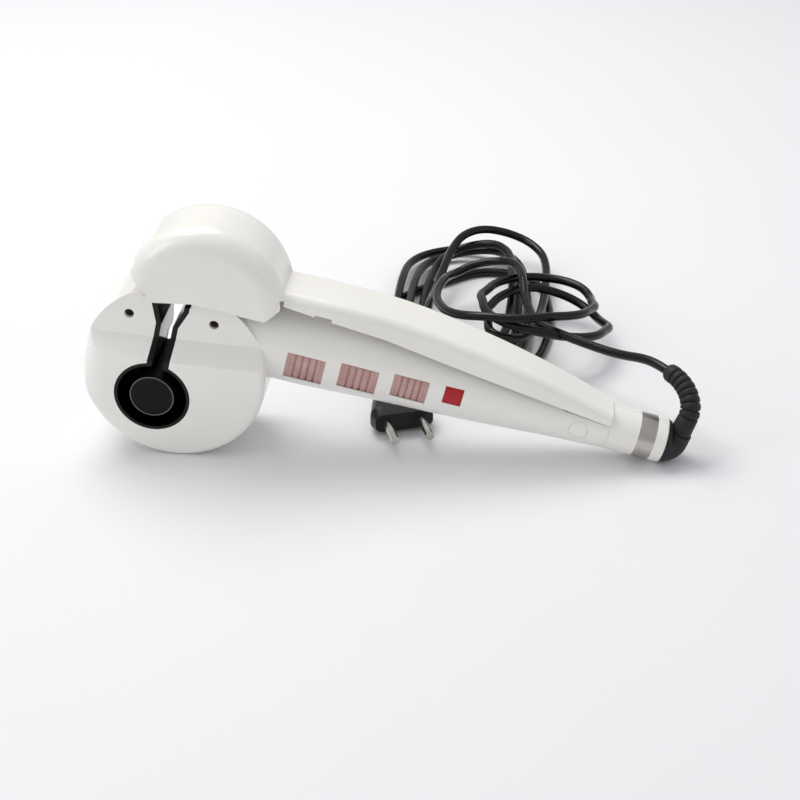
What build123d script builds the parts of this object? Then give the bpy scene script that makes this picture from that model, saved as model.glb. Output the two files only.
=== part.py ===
from build123d import *
import math
import os

# Automatic hair curler, standing open on its drum and its tail end.
# Millimetres. The model is drawn in the tool's own frame: x from the drum's centre to the tail, y across the
# tool (the user's side is -y) and z up, with z = 0 on the axis of the handle. main() then tips it on to the
# table and brings the origin to the middle of its underside, +Z up.

# ---- drum and neck ----
DRUM_R = 48.2            # outside radius of the drum
DRUM_Z = -25.5           # drum centre, below the handle's axis
HEAD_HALF = 24.0         # half the drum's width
NECK_HALF = 17.0         # half the neck's width
WALL = 2.2               # moulded wall
EDGE_R = 3.0             # rounding of the drum's rims
NOSE_R = 14.0            # rounding of the nose, seen from above
RIDGE_Z = -17.0          # top edge of the drum's flat side, at x = 0
RIDGE_TURN = 10.0        # degrees that edge climbs towards the handle
SHOULDER_RISE = 10.5     # height of the slope from the flat side up to the neck
NECK_TOP_FRONT = 13.0    # top of the neck before the slot

# ---- curl chamber ----
CHAMBER_X = -8.3
CHAMBER_Z = -40.4
LINER_R = 20.0           # outside radius of the keyhole liner
LINER_WALL = 1.8
SLOT_WALL = 2.8          # wall of the lining along the slot
SLOT_HALF = 5.8          # half the slot's width, over its lining
SLOT_GAP = SLOT_HALF - SLOT_WALL
MOUTH_HALF = 9.7         # half the width of the slot's flared mouth
MOUTH_Z = 10.0           # height at which the mouth is fully flared
THROAT_Z = -0.5          # height at which the flare begins
BARREL_R = 11.7
BARREL_WALL = 1.3
RUN_GAP = 0.05           # radial running clearance of a shaft
PART_GAP = 0.3           # air between pieces that move past each other

# ---- winder drive ----
MODULE = 1.0
ROTOR_TEETH = 40
PINION_TEETH = 12
IDLER_TEETH = 18
MOTOR_TEETH = 10
GEAR_Y = 8.0             # front face of the gears
GEAR_W = 4.0             # width of the gears
GEAR_TURN = 21.0         # direction of the motor from the barrel, degrees above the x axis
BACKLASH = 0.12          # thinning of each tooth flank
AXLE_R = 1.5
MOTOR_R = 9.8
MOTOR_LEN = 24.0

# ---- handle: x, half width, middle height, half height of its oval section ----
BODY_END = 225.0
BODY_SECTIONS = [
    (30.0, 17.0, -1.6, 21.4),
    (50.0, 17.0, -1.5, 21.3),
    (71.0, 16.5, -0.8, 21.3),
    (102.0, 16.0, 0.2, 20.2),
    (134.0, 15.5, 0.0, 18.2),
    (167.0, 14.5, -0.5, 15.5),
    (200.0, 13.2, -0.6, 12.8),
    (BODY_END, 12.2, 0.0, 12.0),
]

# ---- upper arm: x, half width, height of its top ----
ARM_SECTIONS = [
    (20.0, 15.5, 33.0),
    (46.0, 15.5, 33.6),
    (70.0, 15.5, 34.6),
    (102.0, 15.3, 34.6),
    (137.0, 15.0, 31.0),
    (167.0, 14.2, 26.0),
    (196.0, 13.2, 19.6),
    (212.0, 12.6, 15.4),
    (BODY_END, 12.2, 12.8),
]
# lower edge of the arm's skirt, from the jaw to the hinge
ARM_EDGE = [(47.0, 27.0), (70.0, 25.3), (102.0, 23.4), (135.0, 18.7), (167.0, 14.3), (BODY_END, 6.5)]
ARM_WALL = 2.0
ARM_CORNER = 5.0
JAW_R = 41.5             # outline of the jaw
JAW_X = 7.5
JAW_Z = 17.0
JAW_HALF = 23.0
JAW_ROUND = 11.5         # rounding of the jaw's top edges
# lower edge of the jaw, from its tip to the arm
JAW_EDGE = [(-34.5, 27.0), (-17.0, 13.6), (2.0, 18.4), (40.0, 19.5), (47.0, 27.0)]
INSERT_BOTTOM = 18.0     # underside of the hair pusher in the open jaw
BLADE_GAP = 0.8          # air beside it in the slot

# ---- hinge ----
HINGE_X = 209.3
HINGE_Z = -0.3
HINGE_R = 2.5
PIN_HALF = 10.9          # half the hinge pin's length
EAR_Y = 4.5              # inner face of the arm's two ears
EAR_W = 3.0
EAR_R = 4.3              # rounding of the ears about the pin
COVER_R = 5.0
CLOSE_DEG = 4.0          # travel of the arm
SPRING_X = 158.0
SPRING_R = 4.2
SPRING_FLOOR = 5.0       # underside of the spring's cup
POST_X = 100.0           # the arm's post over the start switch
POST_R = 1.8
BUTTON_TOP = 15.3
BUTTON_TRAVEL = 0.8

# ---- switches: x, z, width and height of each window ----
WINDOWS = [(64.7, -5.4, 20.0, 16.0), (92.6, -3.2, 20.0, 15.0), (119.6, -1.0, 18.6, 13.6)]
KNOB_TRAVEL = 1.8        # each way from the middle
KNOB_SINK = 0.9          # knob plate below the shell's surface
KNOB_THICK = 1.3
KNOB_RIM = 1.6           # how far the plate runs on under the window's edge, above and below
LENS = (142.2, 1.4, 9.8, 9.8)

# ---- tail ----
COLLAR_LEN = 15.5
BAND_LEN = 9.0
RING_LEN = 6.1
TAIL_R = 12.0
BAND_WALL = 0.9
NECK_BORE = 7.0          # bore of the end ring
ELBOW_TILT = 80.0        # angle of the elbow's outlet to the tool's axis, degrees
OUTLET_OUT = 7.1         # outlet's middle, past the end ring
OUTLET_UP = 7.5          # and above the tool's axis
ELBOW_R = 11.3
OUTLET_R = 6.5

# ---- mains cord ----
CORD_R = 2.6
BOOT_R = 5.6
PIN_R = 2.4
PIN_LEN = 19.0
PIN_GAP = 19.0           # between the pins' centres
PIN_ROOT = 10.0          # the pin's thinner root, moulded into the plug
PIN_ROOT_R = 1.9
PLUG_W = 35.0
PLUG_H = 15.5
PLUG_LEN = 33.0
PLUG_TAIL = 14.0         # the plug's own strain relief
PLUG_FACE = (6.5, 10.5)  # middle of the plug's face on the table
PLUG_TURN = 20.0         # degrees the pins point to the right of straight forward

# The boot and the two free stretches of cord, on the table. The boot's first point is the elbow's outlet.
BOOT_FIRST_RUN = 11.5    # straight out of the elbow
BOOT_ROUTE = [(156.0, 7.6, 35.6), (151.0, 15.5, 39.8), (145.0, 23.0, 40.4)]
LEAD_ROUTE = [
    (145.0, 23.0, 40.4),
    (134.8, 35.6, 39.8),
    (120.5, 47.5, 34.6),
    (104.5, 61.5, 31.8),
    (88.0, 77.0, 29.4),
    (73.5, 95.0, 25.6),
    (63.0, 114.0, 20.5),
]
TAIL_ROUTE = [
    (-9.6, 54.7, 7.6),
    (-14.5, 67.5, 4.6),
    (-20.5, 82.5, 2.7),
    (-25.0, 100.5, 2.7),
    (-26.0, 121.0, 2.7),
    (-22.0, 142.0, 2.7),
    (-12.5, 160.5, 2.7),
    (1.5, 176.0, 2.7),
    (16.5, 188.5, 2.7),
]
# outline of the loosely folded hank, seen from above, and its height
HANK_OUTLINE = [
    (-15, 118), (-7, 186), (8, 226), (28, 254), (54, 254), (72, 232), (82, 190), (94, 177),
    (107, 152), (117, 112), (117, 82), (98, 73), (44, 62), (10, 66), (-10, 88),
]
HANK_H = 24.0

TAIL_END = BODY_END + COLLAR_LEN + BAND_LEN + RING_LEN
TILT = math.degrees(
    math.asin(DRUM_R / math.hypot(TAIL_END, DRUM_Z + TAIL_R)) - math.atan2(DRUM_Z + TAIL_R, TAIL_END)
)
DRIVE_X = Vector(math.cos(math.radians(GEAR_TURN)), 0, math.sin(math.radians(GEAR_TURN)))


def along_y(x, z, y0, y1):
    """Plane facing +y at (x, z), with the length to extrude."""
    return Plane((x, y0, z), x_dir=(1, 0, 0), z_dir=(0, 1, 0)), y1 - y0


def rod_y(x, z, radius, y0, y1):
    plane, length = along_y(x, z, y0, y1)
    return extrude(plane * Circle(radius), length)


def rod_x(x0, x1, radius, y=0, z=0):
    plane = Plane((x0, y, z), x_dir=(0, 1, 0), z_dir=(1, 0, 0))
    return extrude(plane * Circle(radius), x1 - x0)


def block(x0, x1, y0, y1, z0, z1):
    middle = ((x0 + x1) / 2, (y0 + y1) / 2, (z0 + z1) / 2)
    return Pos(*middle) * Box(x1 - x0, y1 - y0, z1 - z0)


def slab_xz(points, y0, y1):
    """A flat outline of (x, z) points, drawn out from y0 to y1."""
    outline = Polyline([(x, y0, z) for x, z in points], close=True)
    return extrude(make_face(outline), y1 - y0, dir=(0, 1, 0))


def one(shape):
    """The largest solid of a shape, as a plain Solid."""
    return max(shape.solids(), key=lambda solid: solid.volume)


# ---------------------------------------------------------------- body envelope

def head_solid(inset):
    """The drum and neck, drawn in by an inset."""
    half = HEAD_HALF - inset
    radius = DRUM_R - inset
    disc = rod_y(0, DRUM_Z, radius, -half, half)
    disc = fillet(disc.edges().filter_by(GeomType.CIRCLE), EDGE_R if inset == 0 else EDGE_R - 1)
    neck_half = NECK_HALF - inset
    rise = math.tan(math.radians(RIDGE_TURN))
    low = RIDGE_Z - inset
    for side in (-1, 1):
        start = Vector(-60, 0, low - 60 * rise)
        outline = [(half, 0), (neck_half, SHOULDER_RISE), (neck_half, 90), (half + 20, 90), (half + 20, 0)]
        points = [start + Vector(0, side * y, z) for y, z in outline]
        wedge = extrude(make_face(Polyline(points, close=True)), 120, dir=(1, 0, rise))
        disc = disc - wedge
    plan = Rectangle(2 * radius + 10, 2 * half)
    left = plan.vertices().sort_by(Axis.X)[0:2]
    plan = Pos(5, 0, -90) * fillet(left, NOSE_R - inset)
    disc = disc & extrude(plan, 160)
    disc = disc - block(-60, 2, -40, 40, NECK_TOP_FRONT - inset, 60)
    return disc


def body_tube(inset, x_end=BODY_END):
    """The handle, drawn in by an inset."""
    faces = []
    for x, half, mid, rise in BODY_SECTIONS:
        plane = Plane((x, 0, mid), x_dir=(0, 1, 0), z_dir=(1, 0, 0))
        faces.append(plane * Ellipse(half - inset, rise - inset))
    return loft(faces)


def arm_tube(inset):
    faces = []
    for x, half, top in ARM_SECTIONS:
        low = top - 45
        plane = Plane((x, 0, (top - inset + low) / 2), x_dir=(0, 1, 0), z_dir=(1, 0, 0))
        faces.append(plane * RectangleRounded(2 * (half - inset), top - inset - low, ARM_CORNER - inset / 2))
    return loft(faces)


def keyhole(wall, slot_wall):
    """The curl chamber and its slot, less a wall, as a solid that runs right across the drum."""
    y0, y1 = -HEAD_HALF - 2, HEAD_HALF + 2
    ring = rod_y(CHAMBER_X, CHAMBER_Z, LINER_R - wall, y0, y1)
    slot = SLOT_HALF - slot_wall
    mouth = MOUTH_HALF - slot_wall
    top = NECK_TOP_FRONT + 12
    outline = [
        (CHAMBER_X - slot, CHAMBER_Z),
        (CHAMBER_X - slot, THROAT_Z),
        (CHAMBER_X - mouth, MOUTH_Z),
        (CHAMBER_X - mouth, top),
        (CHAMBER_X + mouth, top),
        (CHAMBER_X + mouth, MOUTH_Z),
        (CHAMBER_X + slot, THROAT_Z),
        (CHAMBER_X + slot, CHAMBER_Z),
    ]
    return ring + slab_xz(outline, y0, y1)


HEAD = head_solid(0)
ENVELOPE = HEAD + body_tube(0)
CAVITY = head_solid(WALL) + body_tube(WALL)
LINER_OUT = keyhole(0, 0)
LINER_IN = keyhole(LINER_WALL, SLOT_WALL)

# The body's top is open under the hinge end of the arm, where the arm's ears go in.
EARS_ROOM = block(
    HINGE_X - EAR_R - 1.5, HINGE_X + EAR_R + 1.5,
    -(EAR_Y + EAR_W + PART_GAP), EAR_Y + EAR_W + PART_GAP, HINGE_Z - EAR_R - 1, 40
)
EARS_OPENING = slab_xz(
    [(199.0, 7.6), (BODY_END + 0.2, 5.4), (BODY_END + 0.2, 40.0), (199.0, 40.0)], -30, 30
)


def boss(x, z, side, reach):
    """A screw boss from a side wall of the body to the split."""
    if side < 0:
        return rod_y(x, z, 3.4, -reach, -PART_GAP / 2)
    return rod_y(x, z, 3.4, PART_GAP / 2, reach)


NECK_SCREWS = [(-28.4, 0.8), (15.0, 7.0)]
BODY_SCREWS = [(-36.0, -48.0), (30.0, -58.0), (184.0, -6.5)]
SCREW_R = 1.2
RECESS_R = 2.5


def body_shell(side):
    """One half of the body, split on the middle plane; side -1 faces the user."""
    y0, y1 = (-40, 0) if side < 0 else (0, 40)
    half = (ENVELOPE - CAVITY) & block(-80, BODY_END, y0, y1, -120, 60)
    inside = ENVELOPE & block(-80, BODY_END, y0, y1, -120, 60)
    for x, z in NECK_SCREWS + BODY_SCREWS:
        half = half + (boss(x, z, side, 30) & inside)
    half = half - LINER_OUT - EARS_OPENING - EARS_ROOM
    for x, z in NECK_SCREWS:
        if side < 0:
            half = half - rod_y(x, z, RECESS_R, -40, -NECK_HALF + 3.5)
    for x, z in NECK_SCREWS + BODY_SCREWS:
        depth = 40 if (x, z) in NECK_SCREWS and side < 0 else 10
        half = half - rod_y(x, z, SCREW_R, -depth, 10)
    # hinge pin seats and the round recess of the hinge cover
    seat = rod_y(HINGE_X, HINGE_Z, 4.6, EAR_Y + EAR_W + PART_GAP + 0.2, 30) & (ENVELOPE - EARS_OPENING)
    seat_side = seat if side > 0 else mirror(seat, Plane.XZ)
    half = half + (seat_side & inside)
    half = half - rod_y(HINGE_X, HINGE_Z, HINGE_R, -PIN_HALF, PIN_HALF)
    near, far = sorted((side * PIN_HALF, side * 30))
    half = half - rod_y(HINGE_X, HINGE_Z, COVER_R, near, far)
    # the spring's seat
    half = half + (rod_seat() & inside)
    half = half - rod_z(SPRING_X, 0, SPRING_R + 0.4, SPRING_FLOOR + 2, 40)
    # the hole through which the arm's post reaches the start switch
    half = half - block(POST_X - POST_R - 2.4, POST_X + POST_R + 0.8, -POST_R - 0.6, POST_R + 0.6, 12, 40)
    if side < 0:
        for x, z, width, height in WINDOWS:
            half = half - block(x - width / 2, x + width / 2, -40, -8, z - height / 2, z + height / 2)
        half = half - knob_pocket()
        x, z, width, height = LENS
        half = half - block(x - width / 2, x + width / 2, -40, -8, z - height / 2, z + height / 2)
    if side > 0:
        # gear frame standoffs
        for x, z in FRAME_POSTS:
            half = half + (rod_y(x, z, 2.6, GEAR_Y + GEAR_W + 2.5, 30) & inside)
    return half


def rod_seat():
    """The cup under the return spring."""
    outer = rod_z(SPRING_X, 0, SPRING_R + 1.4, SPRING_FLOOR, 30)
    return outer - rod_z(SPRING_X, 0, SPRING_R + 0.4, SPRING_FLOOR + 2, 30)


def rod_z(x, y, radius, z0, z1):
    return extrude(Plane((x, y, z0)) * Circle(radius), z1 - z0)


def knob_pocket():
    """The thinned wall behind the windows, in which the knobs' plates slide."""
    band = body_tube(KNOB_SINK) - body_tube(KNOB_SINK + KNOB_THICK + 1.6)
    zones = None
    for x, z, width, height in WINDOWS:
        reach = width / 2 + 2 * KNOB_TRAVEL + PART_GAP + 0.4
        rise = height / 2 + KNOB_RIM + PART_GAP
        zone = block(x - reach, x + reach, -40, -8, z - rise, z + rise)
        zones = zone if zones is None else zones + zone
    return band & zones


# ---------------------------------------------------------------- winder gears

PRESSURE = math.radians(25)
ADDENDUM = 0.85 * MODULE
DEDENDUM = 1.1 * MODULE


def pitch_r(teeth):
    return MODULE * teeth / 2


def meshed(teeth_a, turn_a, direction, teeth_b):
    """Turn of gear b that puts its teeth in the gaps of gear a; angles in degrees."""
    return direction + 180 - 360 / teeth_b * (0.5 - teeth_a * (direction - turn_a) / 360)


def gear_face(teeth, turn):
    """Outline of a spur gear about the origin of the XZ plane, one tooth pointing at the angle turn."""
    radius = pitch_r(teeth)
    base = radius * math.cos(PRESSURE)
    half_pitch = math.pi / (2 * teeth) - BACKLASH / radius
    inv = math.tan(PRESSURE) - PRESSURE

    def half_angle(rho):
        lean = math.acos(min(1.0, base / rho))
        return half_pitch + inv - (math.tan(lean) - lean)

    root = radius - DEDENDUM
    foot = max(base, root + 0.05)
    flank = [foot, (foot + radius + ADDENDUM) / 2, radius + ADDENDUM]
    points = []
    for tooth in range(teeth):
        middle = math.radians(turn) + 2 * math.pi * tooth / teeth
        points.append((root, middle - half_angle(foot)))
        points += [(rho, middle - half_angle(rho)) for rho in flank]
        points += [(rho, middle + half_angle(rho)) for rho in reversed(flank)]
        points.append((root, middle + half_angle(foot)))
    outline = [(rho * math.cos(angle), 0, rho * math.sin(angle)) for rho, angle in points]
    return make_face(Polyline(outline, close=True))


def gear(teeth, turn, x, z, bore):
    face = Pos(x, GEAR_Y, z) * gear_face(teeth, turn)
    wheel = extrude(face, GEAR_W, dir=(0, 1, 0))
    return wheel - rod_y(x, z, bore, GEAR_Y - 1, GEAR_Y + GEAR_W + 1)


def polar(distance, degrees):
    """A point at a distance and direction from the barrel's middle."""
    angle = math.radians(degrees)
    return CHAMBER_X + distance * math.cos(angle), CHAMBER_Z + distance * math.sin(angle)


def direction(start, end):
    return math.degrees(math.atan2(end[1] - start[1], end[0] - start[0]))


REACH_PINION = pitch_r(ROTOR_TEETH) + pitch_r(PINION_TEETH)
REACH_IDLER = pitch_r(PINION_TEETH) + pitch_r(IDLER_TEETH)
REACH_MOTOR = pitch_r(IDLER_TEETH) + pitch_r(MOTOR_TEETH)
ROTOR_TURN = 90.0        # a tooth space row faces the slot at rest


def idler_distance(spread):
    across = REACH_PINION * math.sin(math.radians(spread))
    return REACH_PINION * math.cos(math.radians(spread)) + math.sqrt(REACH_IDLER ** 2 - across ** 2)


def idler_turns(spread):
    """The idler's turn as each of the two pinions asks for it."""
    idler = polar(idler_distance(spread), GEAR_TURN)
    turns = []
    for side in (1, -1):
        pinion = polar(REACH_PINION, GEAR_TURN + side * spread)
        pinion_turn = meshed(ROTOR_TEETH, ROTOR_TURN, GEAR_TURN + side * spread, PINION_TEETH)
        turns.append(meshed(PINION_TEETH, pinion_turn, direction(pinion, idler), IDLER_TEETH))
    return turns


def mesh_error(spread):
    """How far the two pinions disagree about the idler, as a share of one tooth."""
    turns = idler_turns(spread)
    share = (turns[0] - turns[1]) * IDLER_TEETH / 360
    return abs(share - round(share))


# The two pinions straddle the drive line by the spread at which both mesh with the idler.
SPREAD = min([22 + 0.005 * step for step in range(1300)], key=mesh_error)
PINION_AT = [polar(REACH_PINION, GEAR_TURN + SPREAD), polar(REACH_PINION, GEAR_TURN - SPREAD)]
IDLER_AT = polar(idler_distance(SPREAD), GEAR_TURN)
MOTOR_AT = polar(idler_distance(SPREAD) + REACH_MOTOR, GEAR_TURN)
FRAME_POSTS = PINION_AT + [MOTOR_AT]
FRAME_FRONT = GEAR_Y - 2.4
FRAME_BACK = GEAR_Y + GEAR_W + 1.0
FRAME_THICK = 1.5


def rotor():
    """The winder: a toothed C round the barrel, open towards the slot, with its hair hook."""
    wheel = gear(ROTOR_TEETH, ROTOR_TURN, CHAMBER_X, CHAMBER_Z, BARREL_R + RUN_GAP)
    wheel = wheel - block(CHAMBER_X - SLOT_GAP, CHAMBER_X + SLOT_GAP, 0, 40, CHAMBER_Z, CHAMBER_Z + 40)
    mid = (BARREL_R + LINER_R - LINER_WALL) / 2
    finger = rod_y(CHAMBER_X, CHAMBER_Z, mid + 1.4, -8, GEAR_Y + 1) - rod_y(
        CHAMBER_X, CHAMBER_Z, mid - 1.4, -9, GEAR_Y + 2
    )
    finger = finger & slab_xz([(CHAMBER_X, CHAMBER_Z), polar(40, 108), polar(40, 128)], -8, GEAR_Y + 1)
    return wheel + finger


def gear_frame():
    """Two plates with the axles between them; the motor hangs on the front plate."""
    parts = None
    for y in (FRAME_FRONT, FRAME_BACK):
        face = make_face(Polyline([(x, y, z) for x, z in FRAME_POSTS], close=True))
        plate = extrude(face, FRAME_THICK, dir=(0, 1, 0))
        for x, z in FRAME_POSTS + [IDLER_AT]:
            plate = plate + rod_y(x, z, 4.0, y, y + FRAME_THICK)
        parts = plate if parts is None else parts + plate
    for x, z in PINION_AT + [IDLER_AT]:
        parts = parts + rod_y(x, z, AXLE_R, FRAME_FRONT, FRAME_BACK + FRAME_THICK)
    x, z = polar(idler_distance(SPREAD) + REACH_MOTOR, GEAR_TURN)
    parts = parts - rod_y(x, z, 2.0, FRAME_FRONT - 1, FRAME_FRONT + FRAME_THICK + 1)
    return parts


def motor_pinion():
    x, z = MOTOR_AT
    turn_idler = idler_turns(SPREAD)[0]
    turn = meshed(IDLER_TEETH, turn_idler, GEAR_TURN, MOTOR_TEETH)
    wheel = gear(MOTOR_TEETH, turn, x, z, 0.5)
    return wheel + rod_y(x, z, 1.0, FRAME_FRONT - 10, GEAR_Y + GEAR_W + 0.6)


def motor():
    x, z = MOTOR_AT
    can = rod_y(x, z, MOTOR_R, FRAME_FRONT - MOTOR_LEN, FRAME_FRONT)
    return can - rod_y(x, z, 1.0 + RUN_GAP, FRAME_FRONT - 12, FRAME_FRONT + 1)


# ---------------------------------------------------------------- chamber

def liner():
    """The black keyhole lining, flush with the drum's sides, with the wall that carries the barrel."""
    lining = (LINER_OUT - LINER_IN) & HEAD
    lining = lining - block(-80, 80, -40, 40, NECK_TOP_FRONT - 0.4, 60)
    wall_y = FRAME_BACK + 1.0
    wall = rod_y(CHAMBER_X, CHAMBER_Z, LINER_R, wall_y, wall_y + 2.4)
    wall = wall - block(CHAMBER_X - SLOT_GAP, CHAMBER_X + SLOT_GAP, 0, 40, CHAMBER_Z, CHAMBER_Z + 40)
    lining = lining + wall - rod_y(CHAMBER_X, CHAMBER_Z, BARREL_R, -40, 40)
    tip = pitch_r(ROTOR_TEETH) + ADDENDUM + 0.5
    return lining - rod_y(CHAMBER_X, CHAMBER_Z, tip, GEAR_Y - 0.5, GEAR_Y + GEAR_W + 0.5)


BARREL_FRONT = -HEAD_HALF + 0.4
BARREL_BACK = FRAME_BACK + 4.2


def barrel():
    tube = rod_y(CHAMBER_X, CHAMBER_Z, BARREL_R, BARREL_FRONT, BARREL_BACK)
    return tube - rod_y(CHAMBER_X, CHAMBER_Z, BARREL_R - BARREL_WALL, BARREL_FRONT - 1, BARREL_BACK + 1)


def barrel_cap():
    return rod_y(CHAMBER_X, CHAMBER_Z, BARREL_R - BARREL_WALL, BARREL_FRONT + 0.7, BARREL_FRONT + 2.7)


def heater():
    core = rod_y(CHAMBER_X, CHAMBER_Z, BARREL_R - BARREL_WALL, -18, 6)
    return core & block(CHAMBER_X - 20, CHAMBER_X + 20, -18, 6, CHAMBER_Z - 2.5, CHAMBER_Z + 2.5)


def thermal_fuse():
    return rod_y(CHAMBER_X, CHAMBER_Z + 2.5 + 1.6, 1.6, -9, 1)


# ---------------------------------------------------------------- upper arm

JAW_OUT = rod_y(JAW_X, JAW_Z, JAW_R, -JAW_HALF, JAW_HALF)
JAW_OUT = fillet(JAW_OUT.edges().filter_by(GeomType.CIRCLE), JAW_ROUND)
JAW_IN = rod_y(JAW_X, JAW_Z, JAW_R - WALL, -JAW_HALF + WALL, JAW_HALF - WALL)
JAW_IN = fillet(JAW_IN.edges().filter_by(GeomType.CIRCLE), JAW_ROUND - WALL)
ARM_END = BODY_END - PART_GAP
ARM_IN = arm_tube(ARM_WALL) & block(0, ARM_END - ARM_WALL, -40, 40, -60, 60)
BELOW_ARM = slab_xz(
    [(-70, 27.0)] + JAW_EDGE + ARM_EDGE[1:]
    + [(BODY_END + 10, 5.9), (BODY_END + 10, -70), (-70, -70)], -40, 40
)
NOTCH_X = 63.5
NOSE_REACH = 30.0        # how far the neck's nose stands in front of the drum's middle, at its top


def arm_drop(x):
    """How far a point of the arm comes down when the jaw closes."""
    return (HINGE_X - x) * math.tan(math.radians(CLOSE_DEG))


def arm_shell():
    outer = (JAW_OUT + arm_tube(0)) & block(-80, ARM_END, -40, 40, -60, 90)
    shell = outer - JAW_IN - ARM_IN - BELOW_ARM
    # room for the neck of the handle where it runs into the jaw
    shell = shell - block(28, 47, -NECK_HALF - 0.9, NECK_HALF + 0.9, -10, 30.5)
    for side in (-1, 1):
        band = rod_y(JAW_X, JAW_Z - 22.5, 39, side * JAW_HALF - 0.5, side * JAW_HALF + 0.5)
        shell = shell - (band & block(-40, 27, -40, 40, -20, 40))
        near, far = sorted((side * EAR_Y, side * (EAR_Y + EAR_W)))
        eye = rod_y(HINGE_X, HINGE_Z, EAR_R, near, far)
        stalk = block(HINGE_X - EAR_R, HINGE_X + EAR_R, near, far, HINGE_Z, 30)
        shell = shell + eye + (stalk & ARM_IN)
    shell = shell - rod_y(HINGE_X, HINGE_Z, HINGE_R + RUN_GAP, -20, 20)
    # the jaw's tip is cut away in the middle, so that it closes over the neck's nose
    nose_top = NECK_TOP_FRONT + arm_drop(-NOSE_REACH) + 3 * PART_GAP
    nose_half = NECK_HALF + 2 * PART_GAP
    shell = shell - block(-60, -NOSE_REACH + 6, -nose_half, nose_half, 0, nose_top)
    # grip notch in the skirt's edge, and the post that works the start switch
    shell = shell - block(NOTCH_X, NOTCH_X + 9, -30, -10, 20, 26.9)
    post_low = BUTTON_TOP - BUTTON_TRAVEL + PART_GAP + arm_drop(POST_X)
    shell = shell + (rod_z(POST_X, 0, POST_R, post_low, 50) & ARM_IN)
    return shell


def arm_liner():
    """The ribbed cover under the arm's roof."""
    skin = ARM_IN - arm_tube(ARM_WALL + 1.0)
    cover = skin & block(52, 196, -9, 9, 12, 60)
    return cover - rod_z(POST_X, 0, POST_R + 0.2, 0, 60)


def jaw_insert():
    """The blade that presses the hair down the slot."""
    half = SLOT_GAP - BLADE_GAP
    return JAW_IN & block(CHAMBER_X - half, CHAMBER_X + half, -16, 16, INSERT_BOTTOM, 80)


def ion_generator():
    return JAW_IN & block(10, 34, -11, 11, 40, 80)


# ---------------------------------------------------------------- switches and lamp

BOARD_Y = -5.6
BOARD_THICK = 1.6
SWITCH_FRONT = -10.0


def knob(x, z, width, height):
    """A ribbed plate behind the window, with the fork that moves the switch."""
    plate = body_tube(KNOB_SINK + 0.1) - body_tube(KNOB_SINK + KNOB_THICK)
    reach = width / 2 + KNOB_TRAVEL
    rise = height / 2 + KNOB_RIM
    piece = plate & block(x - reach, x + reach, -40, -8, z - rise, z + rise)
    ribs = body_tube(0.1) - body_tube(KNOB_SINK + 0.6)
    for step in (-1, 0, 1):
        middle = x + step * width * 0.165
        half = width * 0.068
        rib = ribs & block(middle - half, middle + half, -40, -8, z - height / 2 + 0.5, z + height / 2 - 0.5)
        piece = piece + rib
    fork = block(x - 1.0, x + 1.0, -40, SWITCH_FRONT + 2.0, z - 1.5, z + 1.5) & body_tube(KNOB_SINK + 0.6)
    return piece + fork


def slide_switch(x, z):
    case = block(x - 8, x + 8, SWITCH_FRONT, BOARD_Y, z - 4, z + 4)
    reach = 1.0 + KNOB_TRAVEL + PART_GAP
    return case - block(x - reach, x + reach, SWITCH_FRONT - 1, SWITCH_FRONT + 2.6, z - 1.8, z + 1.8)


def board():
    plate = block(46, 150, BOARD_Y, BOARD_Y + BOARD_THICK, -10, 6)
    return plate


def lens():
    x, z, width, height = LENS
    body = body_tube(-0.25) - body_tube(2.6)
    return body & block(x - width / 2, x + width / 2, -40, -8, z - height / 2, z + height / 2)


def lamp():
    x, z, _, _ = LENS
    return rod_y(x, z, 1.5, BOARD_Y - 4, BOARD_Y) + Pos(x, BOARD_Y - 4, z) * Sphere(1.5)


def start_switch():
    case = block(POST_X - 11, POST_X + 9, BOARD_Y + BOARD_THICK, 3.2, 4, BUTTON_TOP - 1.5)
    return case - button_solid(PART_GAP, 1.2)


def button_solid(gap, extra):
    x = POST_X - 1.4
    return block(x - 1.6 - gap, x + 1.6 + gap, -1.5 - gap, 1.5 + gap, BUTTON_TOP - 3.5 - extra, BUTTON_TOP)


def return_spring():
    outer = rod_z(SPRING_X, 0, SPRING_R, SPRING_FLOOR + 2, 24.8)
    room = arm_tube(ARM_WALL + 1.0) + rod_z(SPRING_X, 0, 9, 0, 20)
    return (outer - rod_z(SPRING_X, 0, SPRING_R - 0.8, 0, 40)) & room


# ---------------------------------------------------------------- tail

COLLAR_END = BODY_END + COLLAR_LEN
BAND_END = COLLAR_END + BAND_LEN


def tail_collar():
    """The round end of the handle, with the spigot under the steel band."""
    body = rod_x(BODY_END, COLLAR_END, TAIL_R)
    body = chamfer(body.edges().filter_by(GeomType.CIRCLE).sort_by(Axis.X)[0], 0.4)
    body = body + rod_x(COLLAR_END, BAND_END + 1.5, TAIL_R - BAND_WALL)
    tongue = rod_x(BODY_END - 6, BODY_END, TAIL_R - WALL - 0.1)
    body = body + (tongue & block(BODY_END - 7, BODY_END + 1, -20, 20, -20, 3))
    return body - rod_x(BODY_END - 10, BAND_END + 5, TAIL_R - BAND_WALL - 2.0)


def steel_band():
    tube = rod_x(COLLAR_END, BAND_END, TAIL_R)
    return tube - rod_x(COLLAR_END - 1, BAND_END + 1, TAIL_R - BAND_WALL)


def end_ring():
    ring = rod_x(BAND_END, TAIL_END, TAIL_R)
    ring = fillet(ring.edges().filter_by(GeomType.CIRCLE).sort_by(Axis.X)[-1], 0.8)
    ring = ring - rod_x(BAND_END - 1, BAND_END + 1.5, TAIL_R - BAND_WALL)
    return ring - rod_x(BAND_END - 1, TAIL_END + 1, NECK_BORE)


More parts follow.
